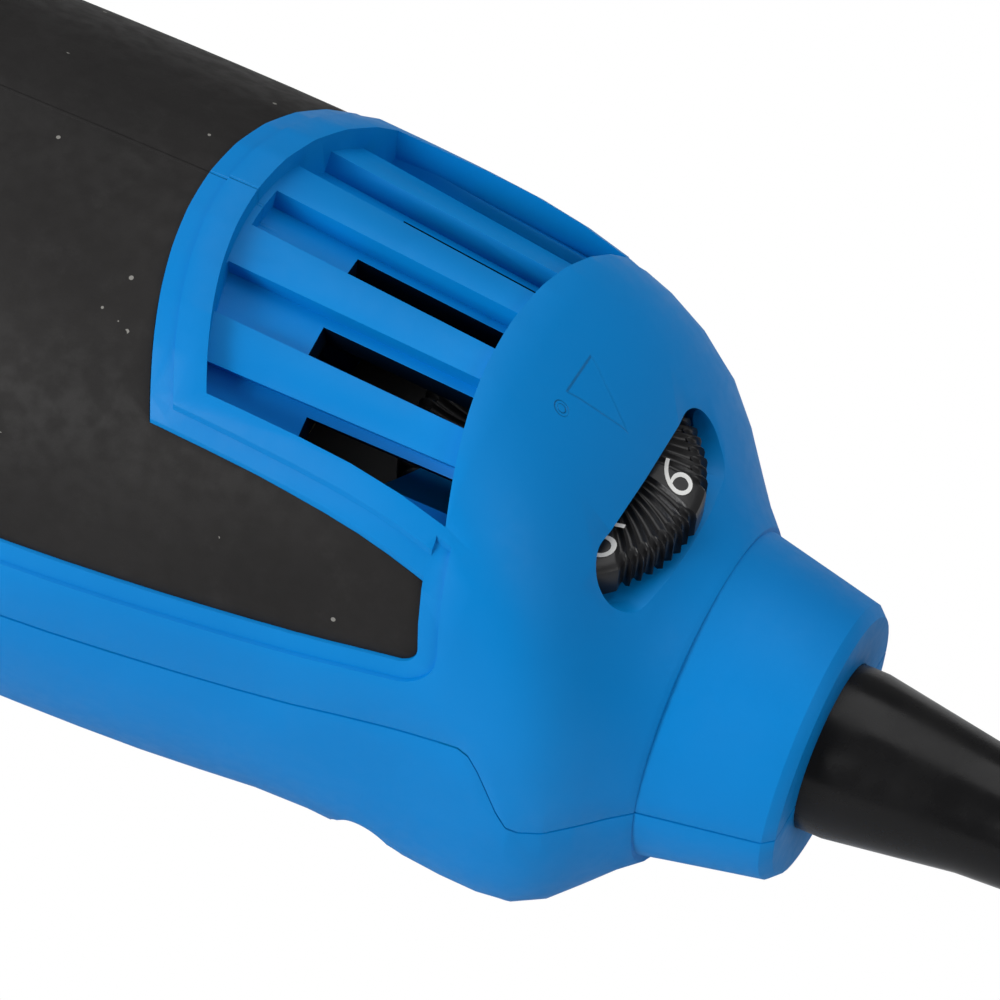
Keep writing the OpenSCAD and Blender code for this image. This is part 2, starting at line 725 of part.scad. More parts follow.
module brush_caps() color("dimgray") {
    for (s = [-1, 1])
        rotate([90 * s, 0, 0])
            translate([brush_x, 0, body_r - 1.6])
                difference() {
                    cylinder(r = 4.5, h = 1.4);
                    translate([-3.2, -0.6, 0.6]) cube([6.4, 1.2, 2]);
                }
}

// ---- controls ----
lock_top = nose_r + 3.2;
lock_flange = nose_r - 2.6;
lock_ledge = lock_flange - 1.5 - lock_travel;
collar_out = lock_ledge - 0.6;
lock_seat_r = 5.9;
lock_shelf_r = max(lock_seat_r, sqrt(room_r ^ 2 - lock_ledge ^ 2)) + 0.7;
module lock_seat() {
    translate([lock_x, 0, lock_ledge - 1]) cylinder(r = lock_seat_r, h = lock_flange + 1.1 + clear - lock_ledge + 1);
}
// The shelf that the button's spring stands on.
module lock_shelf() {
    translate([lock_x, 0, lock_ledge])
        difference() {
            cylinder(r = lock_shelf_r, h = 0.6);
            translate([0, 0, -1]) cylinder(r = lock_pin_r + 0.5, h = 3);
        }
}
module lock_button() color("dodgerblue") {
    translate([lock_x, 0, 0]) {
        translate([0, 0, collar_out + clear]) cylinder(r = lock_pin_r, h = lock_flange - collar_out);
        translate([0, 0, lock_flange]) cylinder(r = 5.6, h = 1.1);
        difference() {
            translate([0, 0, lock_flange]) cylinder(r = 5, h = lock_top - lock_flange);
            translate([0, 0, lock_top + 16]) sphere(r = 16.8);
        }
    }
}
module lock_spring() color("silver") {
    for (k = [0:3])
        translate([lock_x, 0, lock_ledge + 0.95 + k * (lock_flange - lock_ledge - 1.35) / 3])
            rotate_extrude() translate([4, 0]) circle(r = 0.3, $fn = 16);
}
module switch_knob() color("dodgerblue") {
    cx = switch_x + switch_l / 2;
    difference() {
        intersection() {
            block(switch_x, switch_x + switch_l, -switch_w / 2, switch_w / 2, body_r - 2 + clear, body_r + 2);
            rod(switch_x - 1, switch_x + switch_l + 1, body_r + 1);
        }
        for (k = [-2:2])
            translate([cx + k * 1.8, 0, body_r + 1.3]) rotate([90, 0, 0])
                cylinder(r = 0.55, h = 20, center = true);
    }
    block(cx - 1, cx + 1, -1.6, 1.6, field_r - 0.9, body_r - 1);
}
module switch_block() color("dimgray") {
    difference() {
        block(brush_x - 5, brush_x + 9, -6, 6, 10.4, field_r - 1.2);
        for (x = [brush_x - 2, brush_x + 6])
            translate([x, 0, 13.4]) rotate([90, 0, 0]) cylinder(r = 1, h = 20, center = true);
    }
}
module speed_dial() color("dimgray") {
    top = dial_z + dial_h;
    flat = 360 / dial_marks;
    translate([dial_x, 0, 0])
        difference() {
            rotate_extrude()
                polygon([[dial_pin_r + 0.02, dial_z], [dial_r - 0.4, dial_z], [dial_r, dial_z + 0.4],
                         [dial_r, top - 0.5], [dial_r - 0.6, top + 0.1], [4, top + dial_crown],
                         [dial_pin_r + 0.02, top + dial_crown]]);
            for (k = [0:dial_marks - 1], j = [-2:2])
                rotate(flat * (k + 0.5) + j * flat * 0.115)
                    translate([dial_r + 0.35, 0, dial_z - 1]) cylinder(r = 0.8, h = 12);
        }
}
module speed_module() color("darkslategray") {
    top = -module_z;
    block(module_x, end_x - 19.6, -9, 9, module_z, top);
    translate([dial_x, 0, top - e]) cylinder(r = 5, h = dial_z - top - clear);
    translate([dial_x, 0, top]) cylinder(r = dial_pin_r, h = dial_z + dial_h + dial_crown - 0.2 - top);
}
module capacitor() color("khaki")
    block(capacitor_x, capacitor_x + 12, -9, 9, capacitor_z, module_z);
module cord_clamp() color("dimgray") {
    z0 = cord_z + cord_r + seat;
    difference() {
        block(clamp_x, clamp_x + 5, -9, 9, cord_z + 0.3, z0 + 1.6);
        rod(clamp_x - 1, clamp_x + 6, cord_r + seat, 0, cord_z);
        for (s = [-1, 1]) translate([clamp_x + 2.5, 6.4 * s, -40]) cylinder(r = 1.5, h = 60);
    }
}
module clamp_screws() color("silver") {
    for (s = [-1, 1])
        translate([clamp_x + 2.5, 6.4 * s, cord_z - 6.6]) {
            cylinder(r = 1.3, h = 6.6 + cord_r + seat + 1.6);
            translate([0, 0, 6.6 + cord_r + seat + 1.6]) cylinder(r = 2.3, h = 1.2);
        }
}
module case_screws() color("silver") {
    for (p = SCREWS)
        translate(p) {
            cylinder(r = screw_r, h = SCREW_REACH - p[2]);
            translate([0, 0, -2]) difference() {
                cylinder(r = screw_head_r, h = 2);
                translate([0, 0, -1]) for (q = [0, 90]) rotate(q)
                    translate([-1.6, -0.35, 0]) cube([3.2, 0.7, 2]);
            }
        }
}

// ---- mains lead ----
sleeve_x = end_x + sleeve_l;
module cord_sleeve() color("dimgray") {
    translate([0, 0, cord_z])
        difference() {
            turned([
                [end_x - 10, 0], [end_x - 10, sleeve_r - 0.2], [end_x - 6, sleeve_r - 0.2],
                [end_x - 6, sleeve_r + 1.4], [end_x - 4, sleeve_r + 1.4], [end_x - 4, sleeve_r],
                [end_x + 2, sleeve_r], [end_x + 12, sleeve_r - 1.5], [end_x + 26, sleeve_r - 2.3],
                [sleeve_x, cord_r + 0.9], [sleeve_x, 0]
            ]);
            rod(end_x - 11, sleeve_x + 1, cord_r + seat);
        }
}
module cord_inner() color("dimgray") rod(end_x - 19, sleeve_x, cord_r, 0, cord_z);

// The lead's route from the sleeve down to the floor and aside to the hank, in round numbers.
LEAD = [
    [262, 0, -7.5], [266, 0, -7.5], [271, -0.9, -8], [278, -3.4, -9.4], [284, -7.5, -11.7], [289, -12.8, -14.6],
    [294, -18.1, -17.4], [300, -22.2, -19.7], [307.5, -24.7, -21.1], [310.6, -25.3, -21.4]
];
// From the hank's top row out to the plug.
TAIL = [
    [406.7, -18.4, -4.3], [412, -16, -5.9], [418, -13.6, -7.8], [424, -11.8, -9.8],
    [430, -11, -11.4], [436, -11, -12.4], [440, -11, -12.6], [444, -11, -12.6]
];
near_x = 333;
fold_out = fold_r + cord_d;
rows = 4;
hank_lift = 0.9;

function unit(v) = v / norm(v);
function heading(path, k) = unit(path[min(k + 1, len(path) - 1)] - path[max(k - 1, 0)]);
module sweep(path, r, sides = 8) {
    points = [for (k = [0:len(path) - 1])
        let (t = heading(path, k), n = unit(cross(t, [0, 0, 1])), b = cross(n, t))
        each [for (j = [0:sides - 1])
            path[k] + r * (cos(360 * j / sides) * n + sin(360 * j / sides) * b)]];
    last = (len(path) - 1) * sides;
    faces = concat(
        [for (k = [0:len(path) - 2], j = [0:sides - 1])
            let (a = k * sides + j, b = k * sides + (j + 1) % sides)
            each [[a, b, b + sides], [a, b + sides, a + sides]]],
        [[for (j = [sides - 1:-1:0]) j], [for (j = [0:sides - 1]) last + j]]
    );
    polyhedron(points, faces, convexity = 6);
}
module cord_lead() color("dimgray") sweep(LEAD, cord_r);
module cord_tail() color("dimgray") sweep(TAIL, cord_r);
// A long outline with round ends. The near ends are shifted, as the lead changes rows there.
module hank_plan(r, shift) {
    hull() {
        translate([near_x + shift, 0]) circle(r = r, $fn = 64);
        translate([near_x + run_l, 0]) circle(r = r, $fn = 64);
    }
}
module cord_coil() color("dimgray")
    translate([0, 0, floor_z + hank_lift])
        difference() {
            linear_extrude(height = rows * cord_d) hank_plan(fold_out + cord_r, -cord_r);
            translate([0, 0, -1]) linear_extrude(height = rows * cord_d + 2) hank_plan(fold_r - cord_r, cord_r);
        }
// A soft strap round both sides of the hank.
module coil_tie() color("black") {
    h = rows * cord_d;
    w = fold_out + cord_r;
    translate([near_x + run_l / 2, 0, floor_z + hank_lift])
        difference() {
            translate([-4.5, -w - 0.9, -0.9]) cube([9, 2 * w + 1.8, h + 1.8]);
            translate([-6, -w - 0.1, -0.1]) cube([12, 2 * w + 0.2, h + 0.2]);
        }
}
plug_x = TAIL[len(TAIL) - 1][0];
plug_y = TAIL[len(TAIL) - 1][1];
plug_z = floor_z + 13.1;
plug_r = 17.2;
plug_flat = 13;
plug_neck = 14;
plug_l = 31;
plug_face = plug_x + plug_neck + plug_l;
// The plug points along +X, away from the hank.
module plug_body() color("dimgray") {
    translate([plug_x, plug_y, plug_z])
        difference() {
            union() {
                rotate([0, 90, 0]) cylinder(r1 = 4.6, r2 = 6.4, h = plug_neck + e);
                rotate([0, 90, 0])
                    translate([0, 0, plug_neck])
                        intersection() {
                            union() {
                                cylinder(r1 = 8, r2 = plug_r, h = 10);
                                translate([0, 0, 10]) cylinder(r = plug_r, h = plug_l - 10);
                            }
                            translate([-plug_flat, -20, 0]) cube([2 * plug_flat, 40, 40]);
                        }
            }
            for (s = [-1, 1])
                translate([plug_neck + plug_l - 8, s * pin_gap / 2, 0]) rotate([0, 90, 0])
                    cylinder(r = pin_r - 0.18, h = 9);
        }
}
module plug_pins() color("silver") {
    for (s = [-1, 1])
        translate([plug_face - 8, plug_y + s * pin_gap / 2, plug_z])
            rotate([0, 90, 0]) {
                cylinder(r = pin_r - 0.2, h = 8.4);
                translate([0, 0, 8.4 - e]) cylinder(r = pin_r, h = pin_l - 1.4 + e);
                translate([0, 0, pin_l - 1 + 8 - e]) cylinder(r1 = pin_r, r2 = pin_r - 0.6, h = 1);
            }
}

top_shell();
bottom_shell();
grip();
nose_ring();
nose_cap();
collet();
collet_nut();
spindle();
lock_collar();
front_bearing();
spindle_bearing();
coupling();
armature_shaft();
armature_core();
armature_winding();
commutator();
fan();
motor_front_bearing();
motor_rear_bearing();
bearing_boot();
field_core();
field_winding();
brush_holders();
brushes();
brush_springs();
brush_caps();
lock_button();
lock_spring();
switch_knob();
switch_block();
speed_dial();
speed_module();
capacitor();
cord_clamp();
clamp_screws();
case_screws();
cord_sleeve();
cord_inner();
cord_lead();
cord_tail();
cord_coil();
coil_tie();
plug_body();
plug_pins();
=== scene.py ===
"""The looks of a rotary hobby tool with its mains lead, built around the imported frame."""

import json
import logging
import math
from collections.abc import Sequence
from dataclasses import dataclass, field
from enum import Enum

import bmesh
import bpy
import numpy as np
from mathutils import Matrix, Vector

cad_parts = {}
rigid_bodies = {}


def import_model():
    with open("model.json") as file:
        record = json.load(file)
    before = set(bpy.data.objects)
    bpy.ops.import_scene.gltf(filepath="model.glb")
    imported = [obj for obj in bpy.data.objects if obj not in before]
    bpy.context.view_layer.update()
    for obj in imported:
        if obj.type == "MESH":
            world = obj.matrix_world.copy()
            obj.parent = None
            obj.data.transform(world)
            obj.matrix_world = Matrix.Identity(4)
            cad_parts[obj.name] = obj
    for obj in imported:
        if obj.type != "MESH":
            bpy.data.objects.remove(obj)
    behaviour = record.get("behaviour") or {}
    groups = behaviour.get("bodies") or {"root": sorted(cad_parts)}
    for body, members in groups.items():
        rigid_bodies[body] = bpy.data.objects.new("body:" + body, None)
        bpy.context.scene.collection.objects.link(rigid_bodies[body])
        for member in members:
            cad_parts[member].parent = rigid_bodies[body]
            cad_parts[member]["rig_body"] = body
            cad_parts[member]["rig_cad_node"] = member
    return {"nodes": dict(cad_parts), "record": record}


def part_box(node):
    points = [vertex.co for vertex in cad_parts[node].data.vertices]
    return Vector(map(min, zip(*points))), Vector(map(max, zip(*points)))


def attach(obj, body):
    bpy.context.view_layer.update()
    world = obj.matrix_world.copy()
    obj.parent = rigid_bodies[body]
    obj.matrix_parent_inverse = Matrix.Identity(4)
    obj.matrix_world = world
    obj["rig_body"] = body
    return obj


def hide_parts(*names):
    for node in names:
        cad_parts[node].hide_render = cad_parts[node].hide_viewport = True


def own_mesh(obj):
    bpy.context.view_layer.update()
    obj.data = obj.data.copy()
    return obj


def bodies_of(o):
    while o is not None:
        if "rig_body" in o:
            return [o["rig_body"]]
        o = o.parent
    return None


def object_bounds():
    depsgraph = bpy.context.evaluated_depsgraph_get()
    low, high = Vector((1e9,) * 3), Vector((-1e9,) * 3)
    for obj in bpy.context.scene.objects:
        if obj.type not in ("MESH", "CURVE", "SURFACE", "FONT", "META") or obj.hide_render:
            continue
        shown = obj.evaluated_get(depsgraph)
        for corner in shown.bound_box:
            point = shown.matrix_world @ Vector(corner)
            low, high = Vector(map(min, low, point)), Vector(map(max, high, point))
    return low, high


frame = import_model()
CAD_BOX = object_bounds()

log = logging.getLogger("rotary_tool")

MM = 0.001


def mm(*values: float) -> Vector:
    """Gives a point in metres.

    Args:
        values: The point's coordinates, in millimetres.

    Returns:
        The same point in metres.
    """
    return Vector(values) * MM


# ---------------------------------------------------------------- working with objects


def select_only(*objects: bpy.types.Object) -> None:
    """Selects these objects and nothing else, and makes the first one active.

    Args:
        objects: The objects to select.
    """
    bpy.ops.object.select_all(action="DESELECT")
    for item in objects:
        item.select_set(True)
    bpy.context.view_layer.objects.active = objects[0]


def begin() -> None:
    """Deselects everything, so that a new primitive is all that is selected."""
    bpy.ops.object.select_all(action="DESELECT")


def settle(piece: bpy.types.Object, name: str) -> bpy.types.Object:
    """Moves a piece's place into its mesh and names it.

    Args:
        piece: The piece, which may be a curve or a text.
        name: The piece's new name.

    Returns:
        The piece, as a mesh at the origin.
    """
    select_only(piece)
    if piece.type != "MESH":
        bpy.ops.object.convert(target="MESH")
    piece = bpy.context.view_layer.objects.active
    bpy.ops.object.transform_apply(location=True, rotation=True, scale=True)
    piece.name = name
    piece.data.name = name
    return piece


def apply_modifiers(piece: bpy.types.Object) -> None:
    """Applies all of a piece's modifiers, in order.

    Args:
        piece: The piece.
    """
    select_only(piece)
    for modifier in list(piece.modifiers):
        bpy.ops.object.modifier_apply(modifier=modifier.name)


def smooth(piece: bpy.types.Object, angle: float = 35) -> None:
    """Shades a piece smooth, with edges sharp past an angle.

    Args:
        piece: The piece.
        angle: The least angle of a sharp edge, in degrees.
    """
    select_only(piece)
    bpy.ops.object.shade_smooth_by_angle(angle=math.radians(angle))


def add_bevel(piece: bpy.types.Object, width: float, angle: float) -> None:
    """Rounds a piece's sharp edges.

    Args:
        piece: The piece.
        width: The bevel's width, in millimetres.
        angle: The least angle of an edge that is rounded, in degrees.
    """
    modifier = piece.modifiers.new("rounding", "BEVEL")
    modifier.width = width * MM
    modifier.segments = 2
    modifier.limit_method = "ANGLE"
    modifier.angle_limit = math.radians(angle)
    modifier.use_clamp_overlap = True
    modifier.harden_normals = False


def merged_copy(node: str, name: str, gap: float = 0.002) -> bpy.types.Object:
    """Copies a CAD node as one joined mesh that stands for the node.

    Args:
        node: The CAD node's name.
        name: The copy's name.
        gap: The distance within which corners are joined, in millimetres.

    Returns:
        The copy, not yet on any body.
    """
    source = frame["nodes"][node]
    copy = source.copy()
    copy.data = source.data.copy()
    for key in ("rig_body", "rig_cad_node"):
        if key in copy:
            del copy[key]
    copy.parent = None
    bpy.context.scene.collection.objects.link(copy)
    copy.name = name
    copy.data.name = name
    copy.data.materials.clear()
    select_only(copy)
    bpy.ops.object.mode_set(mode="EDIT")
    bpy.ops.mesh.select_all(action="SELECT")
    bpy.ops.mesh.remove_doubles(threshold=gap * MM)
    bpy.ops.object.mode_set(mode="OBJECT")
    if copy.data.has_custom_normals:
        bpy.ops.mesh.customdata_custom_splitnormals_clear()
    return copy


def body_of(node: str) -> str:
    """Gives the body that a CAD node belongs to."""
    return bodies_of(frame["nodes"][node])[0]


def slot_of(node: str) -> str:
    """Gives the material slot that the record names for a CAD node."""
    parts = frame["record"]["subparts"]
    return next(part["material_slot"] for part in parts if part["node"] == node)


# ---------------------------------------------------------------- finishes


class Shader:
    """A material under construction, with short calls for the nodes that the finishes use."""

    def __init__(self, name: str) -> None:
        """Starts a material that holds a single principled shader.

        Args:
            name: The material's name.
        """
        self.material = bpy.data.materials.new(name)
        self.material.use_nodes = True
        self.tree = self.material.node_tree
        self.surface = self.tree.nodes["Principled BSDF"]
        self.place = self.tree.nodes.new("ShaderNodeTexCoord").outputs["Object"]

    def node(self, kind: str, **sockets: object) -> bpy.types.Node:
        """Adds a node and sets or links its inputs.

        Args:
            kind: The node's type, without its prefix.
            sockets: Values or links for the inputs, by name, with _ for a space.

        Returns:
            The new node.
        """
        node = self.tree.nodes.new("ShaderNode" + kind)
        for key, value in sockets.items():
            self.feed(node.inputs[key.replace("_", " ")], value)
        return node

    def feed(self, socket: bpy.types.NodeSocket, value: object) -> None:
        """Links or sets one input.

        Args:
            socket: The input.
            value: Another node's output, or a plain value.
        """
        if isinstance(value, bpy.types.NodeSocket):
            self.tree.links.new(value, socket)
        else:
            socket.default_value = value

    def scaled(self, size: Sequence[float], shift: Sequence[float] = (0, 0, 0)) -> bpy.types.NodeSocket:
        """Gives object coordinates, scaled along each axis.

        Args:
            size: The factor along X, Y and Z.
            shift: A shift along X, Y and Z, in metres, made first.

        Returns:
            The coordinates.
        """
        moved = self.math3("ADD", self.place, tuple(shift))
        return self.math3("MULTIPLY", moved, tuple(size))

    def math3(self, operation: str, first: object, second: object) -> bpy.types.NodeSocket:
        """Joins two vectors by one vector operation.

        Args:
            operation: The operation's name.
            first: The first vector.
            second: The second vector.

        Returns:
            The resulting vector.
        """
        node = self.tree.nodes.new("ShaderNodeVectorMath")
        node.operation = operation
        self.feed(node.inputs[0], first)
        self.feed(node.inputs[1], second)
        return node.outputs[0]

    def math(self, operation: str, first: object, second: object = 0.0) -> bpy.types.NodeSocket:
        """Joins two numbers by one operation.

        Args:
            operation: The operation's name.
            first: The first number.
            second: The second number.

        Returns:
            The resulting number.
        """
        node = self.tree.nodes.new("ShaderNodeMath")
        node.operation = operation
        self.feed(node.inputs[0], first)
        self.feed(node.inputs[1], second)
        return node.outputs[0]

    def part(self, axis: int) -> bpy.types.NodeSocket:
        """Gives one object coordinate: 0 for X, 1 for Y, 2 for Z, in metres."""
        return self.node("SeparateXYZ", Vector=self.place).outputs[axis]

    def noise(
        self, scale: float, detail: float = 2, rough: float = 0.5, where: object = None
    ) -> bpy.types.NodeSocket:
        """Adds a soft noise.

        Args:
            scale: Waves per metre.
            detail: Octaves of finer noise.
            rough: How strong the finer octaves are.
            where: Coordinates, if they aren't the plain object coordinates.

        Returns:
            The noise, about 0.5 on average.
        """
        where = self.place if where is None else where
        node = self.node("TexNoise", Vector=where, Scale=scale, Detail=detail, Roughness=rough)
        return node.outputs[0]

    def cells(self, scale: float, where: object = None) -> bpy.types.NodeSocket:
        """Adds the distance to the nearest of many scattered points.

        Args:
            scale: Cells per metre.
            where: Coordinates, if they aren't the plain object coordinates.

        Returns:
            The distance, 0 at each point.
        """
        where = self.place if where is None else where
        return self.node("TexVoronoi", Vector=where, Scale=scale).outputs["Distance"]

    def ramp(
        self, value: object, low: float, high: float, start: float = 0.0, end: float = 1.0
    ) -> bpy.types.NodeSocket:
        """Maps a value from one range to another, without passing its ends.

        Args:
            value: The value.
            low: Where the new range starts.
            high: Where the new range ends.
            start: The result at low.
            end: The result at high.

        Returns:
            The mapped value.
        """
        node = self.node("MapRange")
        node.interpolation_type = "SMOOTHSTEP"
        for socket, number in zip(node.inputs[:5], (value, low, high, start, end)):
            self.feed(socket, number)
        return node.outputs[0]

    def blend(self, share: object, first: object, second: object, mode: str = "MIX") -> bpy.types.NodeSocket:
        """Mixes two colours.

        Args:
            share: How much of the second colour shows.
            first: The first colour.
            second: The second colour.
            mode: The way that they are mixed.

        Returns:
            The mixed colour.
        """
        node = self.tree.nodes.new("ShaderNodeMix")
        node.data_type = "RGBA"
        node.blend_type = mode
        self.feed(node.inputs[0], share)
        self.feed(node.inputs[6], first)
        self.feed(node.inputs[7], second)
        return node.outputs[2]

    def bump(
        self, height: object, depth: float, strength: float = 1.0, under: object = None
    ) -> bpy.types.NodeSocket:
        """Adds relief.

        Args:
            height: The height, from 0 to 1.
            depth: The relief's depth, in millimetres.
            strength: The relief's strength.
            under: A normal from a coarser relief.

        Returns:
            The normal.
        """
        node = self.node("Bump", Height=height, Distance=depth * MM, Strength=strength)
        if under is not None:
            self.feed(node.inputs["Normal"], under)
        return node.outputs[0]

    def finish(self, **sockets: object) -> bpy.types.Material:
        """Feeds the principled shader's inputs.

        Args:
            sockets: Values or links for the inputs, by name, with _ for a space.

        Returns:
            The finished material.
        """
        for key, value in sockets.items():
            self.feed(self.surface.inputs[key.replace("_", " ")], value)
        return self.material


def rgb(red: float, green: float, blue: float) -> tuple[float, float, float, float]:
    """Gives a solid colour."""
    return (red, green, blue, 1.0)


# The faint marks on the hood, in millimetres: a pointer from its base to its tip, and a ring.
POINTER_BASE = 198.3
POINTER_TIP = 202.5
POINTER_HALF = 2.05
POINTER_Y = 1.05
RING_X, RING_Y, RING_R = 198.6, -2.4, 0.42
MARK_DEPTH = 0.16
# Where the mould's line starts to fade on the way to the rear, and the height above which marks show.
LINE_FADE = (172, 175)
MARKED_ABOVE = (8, 9)


@dataclass(frozen=True)
class MouldedPlastic:
    """Satin injection-moulded plastic, with a fine spark-eroded grain."""

    name: str
    color: tuple[float, float, float, float]
    shade: tuple[float, float, float, float]
    roughness: float = 0.42
    grain: float = 0.02
    grain_scale: float = 5200
    collar: tuple[float, float] | None = None
    marks: bool = False
    specular: float = 0.4

    def make(self) -> bpy.types.Material:
        """Builds the material.

        Returns:
            The material.
        """
        s = Shader(self.name)
        cloud = s.noise(38, 3)
        fine = s.noise(self.grain_scale, 2, 0.6)
        coarse = s.noise(self.grain_scale * 0.22, 2)
        tone = s.ramp(cloud, 0.35, 0.7)
        color = s.blend(tone, self.color, self.shade)
        grain = s.math("ADD", s.math("MULTIPLY", fine, 0.7), s.math("MULTIPLY", coarse, 0.3))
        strength: object = 0.6
        rough: object = s.ramp(s.noise(900, 3), 0.3, 0.7, self.roughness - 0.035, self.roughness + 0.045)
        if self.collar:
            inside = s.ramp(s.part(0), self.collar[0] * MM, self.collar[1] * MM)
            strength = s.ramp(inside, 0, 1, 0.35, 1.0)
            rough = s.math("ADD", rough, s.math("MULTIPLY", inside, 0.06))
        normal = s.node("Bump", Height=grain, Distance=self.grain * MM, Strength=strength).outputs[0]
        if self.marks:
            normal = s.bump(self.relief(s), MARK_DEPTH, 1.0, normal)
        return s.finish(Base_Color=color, Roughness=rough, Normal=normal, Specular_IOR_Level=self.specular)

    def relief(self, s: Shader) -> bpy.types.NodeSocket:
        """Gives the height of the marks sunk into the top: a pointer, a ring and the mould's line.

        Args:
            s: The material under construction.

        Returns:
            The height, 1 on the plain surface.
        """
        x, y, z = (s.math("DIVIDE", s.part(axis), MM) for axis in range(3))
        aside = s.math("SUBTRACT", y, POINTER_Y)
        slope = POINTER_HALF / (POINTER_TIP - POINTER_BASE)
        reach = s.math("MULTIPLY", s.math("SUBTRACT", POINTER_TIP, x), slope)
        inside = s.ramp(s.math("SUBTRACT", reach, s.math("ABSOLUTE", aside)), -0.1, 0.12)
        pointer = s.math("MULTIPLY", inside, s.ramp(x, POINTER_BASE - 0.1, POINTER_BASE + 0.12))
        dx = s.math("POWER", s.math("SUBTRACT", x, RING_X), 2)
        dy = s.math("POWER", s.math("SUBTRACT", y, RING_Y), 2)
        off_ring = s.math("ABSOLUTE", s.math("SUBTRACT", s.math("SQRT", s.math("ADD", dx, dy)), RING_R))
        ring = s.ramp(off_ring, 0.06, 0.16, 1, 0)
        near_middle = s.ramp(s.math("ABSOLUTE", y), 0.05, 0.17, 0.6, 0)
        line = s.math("MULTIPLY", near_middle, s.ramp(x, *LINE_FADE, 1, 0))
        deepest = s.math("MAXIMUM", pointer, s.math("MAXIMUM", ring, line))
        sunk = s.math("MULTIPLY", deepest, s.ramp(z, *MARKED_ABOVE))
        return s.math("SUBTRACT", 1.0, sunk)


@dataclass(frozen=True)
class SoftRubber:
    """Matte black elastomer, a little dusty, with the line of the mould along its ridge."""

    name: str
    dust: float = 0.5
    ridge: bool = False

    def make(self) -> bpy.types.Material:
        """Builds the material.

        Returns:
            The material.
        """
        s = Shader(self.name)
        grain = s.noise(4200, 3, 0.6)
        cloud = s.noise(60, 4, 0.6)
        color = s.blend(s.ramp(cloud, 0.3, 0.75), rgb(0.010, 0.0092, 0.009), rgb(0.015, 0.0138, 0.0135))
        speck = s.math("LESS_THAN", s.cells(520), 0.09)
        some = s.math("GREATER_THAN", s.noise(190, 2), 0.57)
        dot = s.math("MULTIPLY", s.math("MULTIPLY", speck, some), self.dust)
        color = s.blend(dot, color, rgb(0.42, 0.41, 0.38))
        haze = s.ramp(s.noise(340, 5, 0.7), 0.52, 0.8, 0, 0.04 * self.dust)
        color = s.blend(haze, color, rgb(0.3, 0.3, 0.3))
        normal = s.bump(grain, 0.018, 0.55)
        if self.ridge:
            line = s.ramp(s.math("ABSOLUTE", s.part(1)), 0.06 * MM, 0.2 * MM, 1, 0)
            normal = s.bump(line, 0.09, 0.8, normal)
        rough = s.ramp(s.noise(700, 3), 0.3, 0.7, 0.56, 0.68)
        return s.finish(Base_Color=color, Roughness=rough, Normal=normal, Specular_IOR_Level=0.22)


@dataclass(frozen=True)
class CableRubber:
    """Smooth black cable rubber with a soft gloss."""

    name: str
    roughness: float = 0.24

    def make(self) -> bpy.types.Material:
        """Builds the material.

        Returns:
            The material.
        """
        s = Shader(self.name)
        wave = s.noise(420, 3)
        fine = s.noise(3600, 2)
        tone = s.ramp(s.noise(90, 3), 0.35, 0.7)
        color = s.blend(tone, rgb(0.0035, 0.0035, 0.004), rgb(0.0065, 0.0064, 0.0068))
        rough = s.ramp(s.noise(260, 4, 0.6), 0.3, 0.7, self.roughness - 0.05, self.roughness + 0.09)
        normal = s.bump(fine, 0.008, 0.35, s.bump(wave, 0.05, 0.25))
        return s.finish(Base_Color=color, Roughness=rough, Normal=normal, Specular_IOR_Level=0.2)


@dataclass(frozen=True)
class Metal:
    """Turned, drawn or plated metal."""

    name: str
    color: tuple[float, float, float, float]
    roughness: float = 0.24
    lines: float = 1400
    metallic: float = 1.0

    def make(self) -> bpy.types.Material:
        """Builds the material.

        Returns:
            The material.
        """
        s = Shader(self.name)
        along = s.noise(1, 3, 0.6, s.scaled((self.lines, self.lines * 0.02, self.lines * 0.02)))
        stain = s.ramp(s.noise(160, 4, 0.6), 0.45, 0.8)
        dark = tuple(part * 0.72 for part in self.color[:3]) + (1.0,)
        color = s.blend(s.math("MULTIPLY", stain, 0.5), self.color, dark)
        rough = s.ramp(along, 0.3, 0.7, self.roughness - 0.06, self.roughness + 0.1)
        normal = s.bump(along, 0.01, 0.4)
        return s.finish(Base_Color=color, Roughness=rough, Normal=normal, Metallic=self.metallic)


@dataclass(frozen=True)
class StackedIron:
    """Thin iron sheets, pressed into a stack along X."""

    name: str
    pitch: float = 0.5

    def make(self) -> bpy.types.Material:
        """Builds the material.

        Returns:
            The material.
        """
        s = Shader(self.name)
        wave = s.math("SINE", s.math("MULTIPLY", s.part(0), math.tau / (self.pitch * MM)))
        edge = s.ramp(wave, -0.2, 0.9)
        color = s.blend(edge, rgb(0.055, 0.055, 0.06), rgb(0.2, 0.2, 0.21))
        color = s.blend(s.ramp(s.noise(300, 4), 0.55, 0.8, 0, 0.4), color, rgb(0.12, 0.07, 0.04))
        normal = s.bump(edge, 0.06, 0.7)
        return s.finish(Base_Color=color, Roughness=0.46, Normal=normal, Metallic=0.8)


@dataclass(frozen=True)
class WoundWire:
    """Enamelled copper wire, laid side by side, with painted shade in the grooves between turns."""

    name: str
    wire: float = 0.45

    def make(self) -> bpy.types.Material:
        """Builds the material.

        Returns:
            The material.
        """
        s = Shader(self.name)
        turn = math.tau / (self.wire * MM)
        slant = s.math("ADD", s.part(1), s.math("MULTIPLY", s.part(2), 0.8))
        wave = s.math("SINE", s.math("MULTIPLY", slant, turn))
        # Painted shade: the copper darkens in the groove between each two turns, where the bump sinks.
        color = s.blend(s.ramp(wave, -0.9, 0.4), rgb(0.12, 0.03, 0.01), rgb(0.6, 0.2, 0.06))
        normal = s.bump(s.ramp(wave, -1, 1), 0.12, 0.8)
        return s.finish(Base_Color=color, Roughness=0.3, Normal=normal, Metallic=0.85, Coat_Weight=0.3)


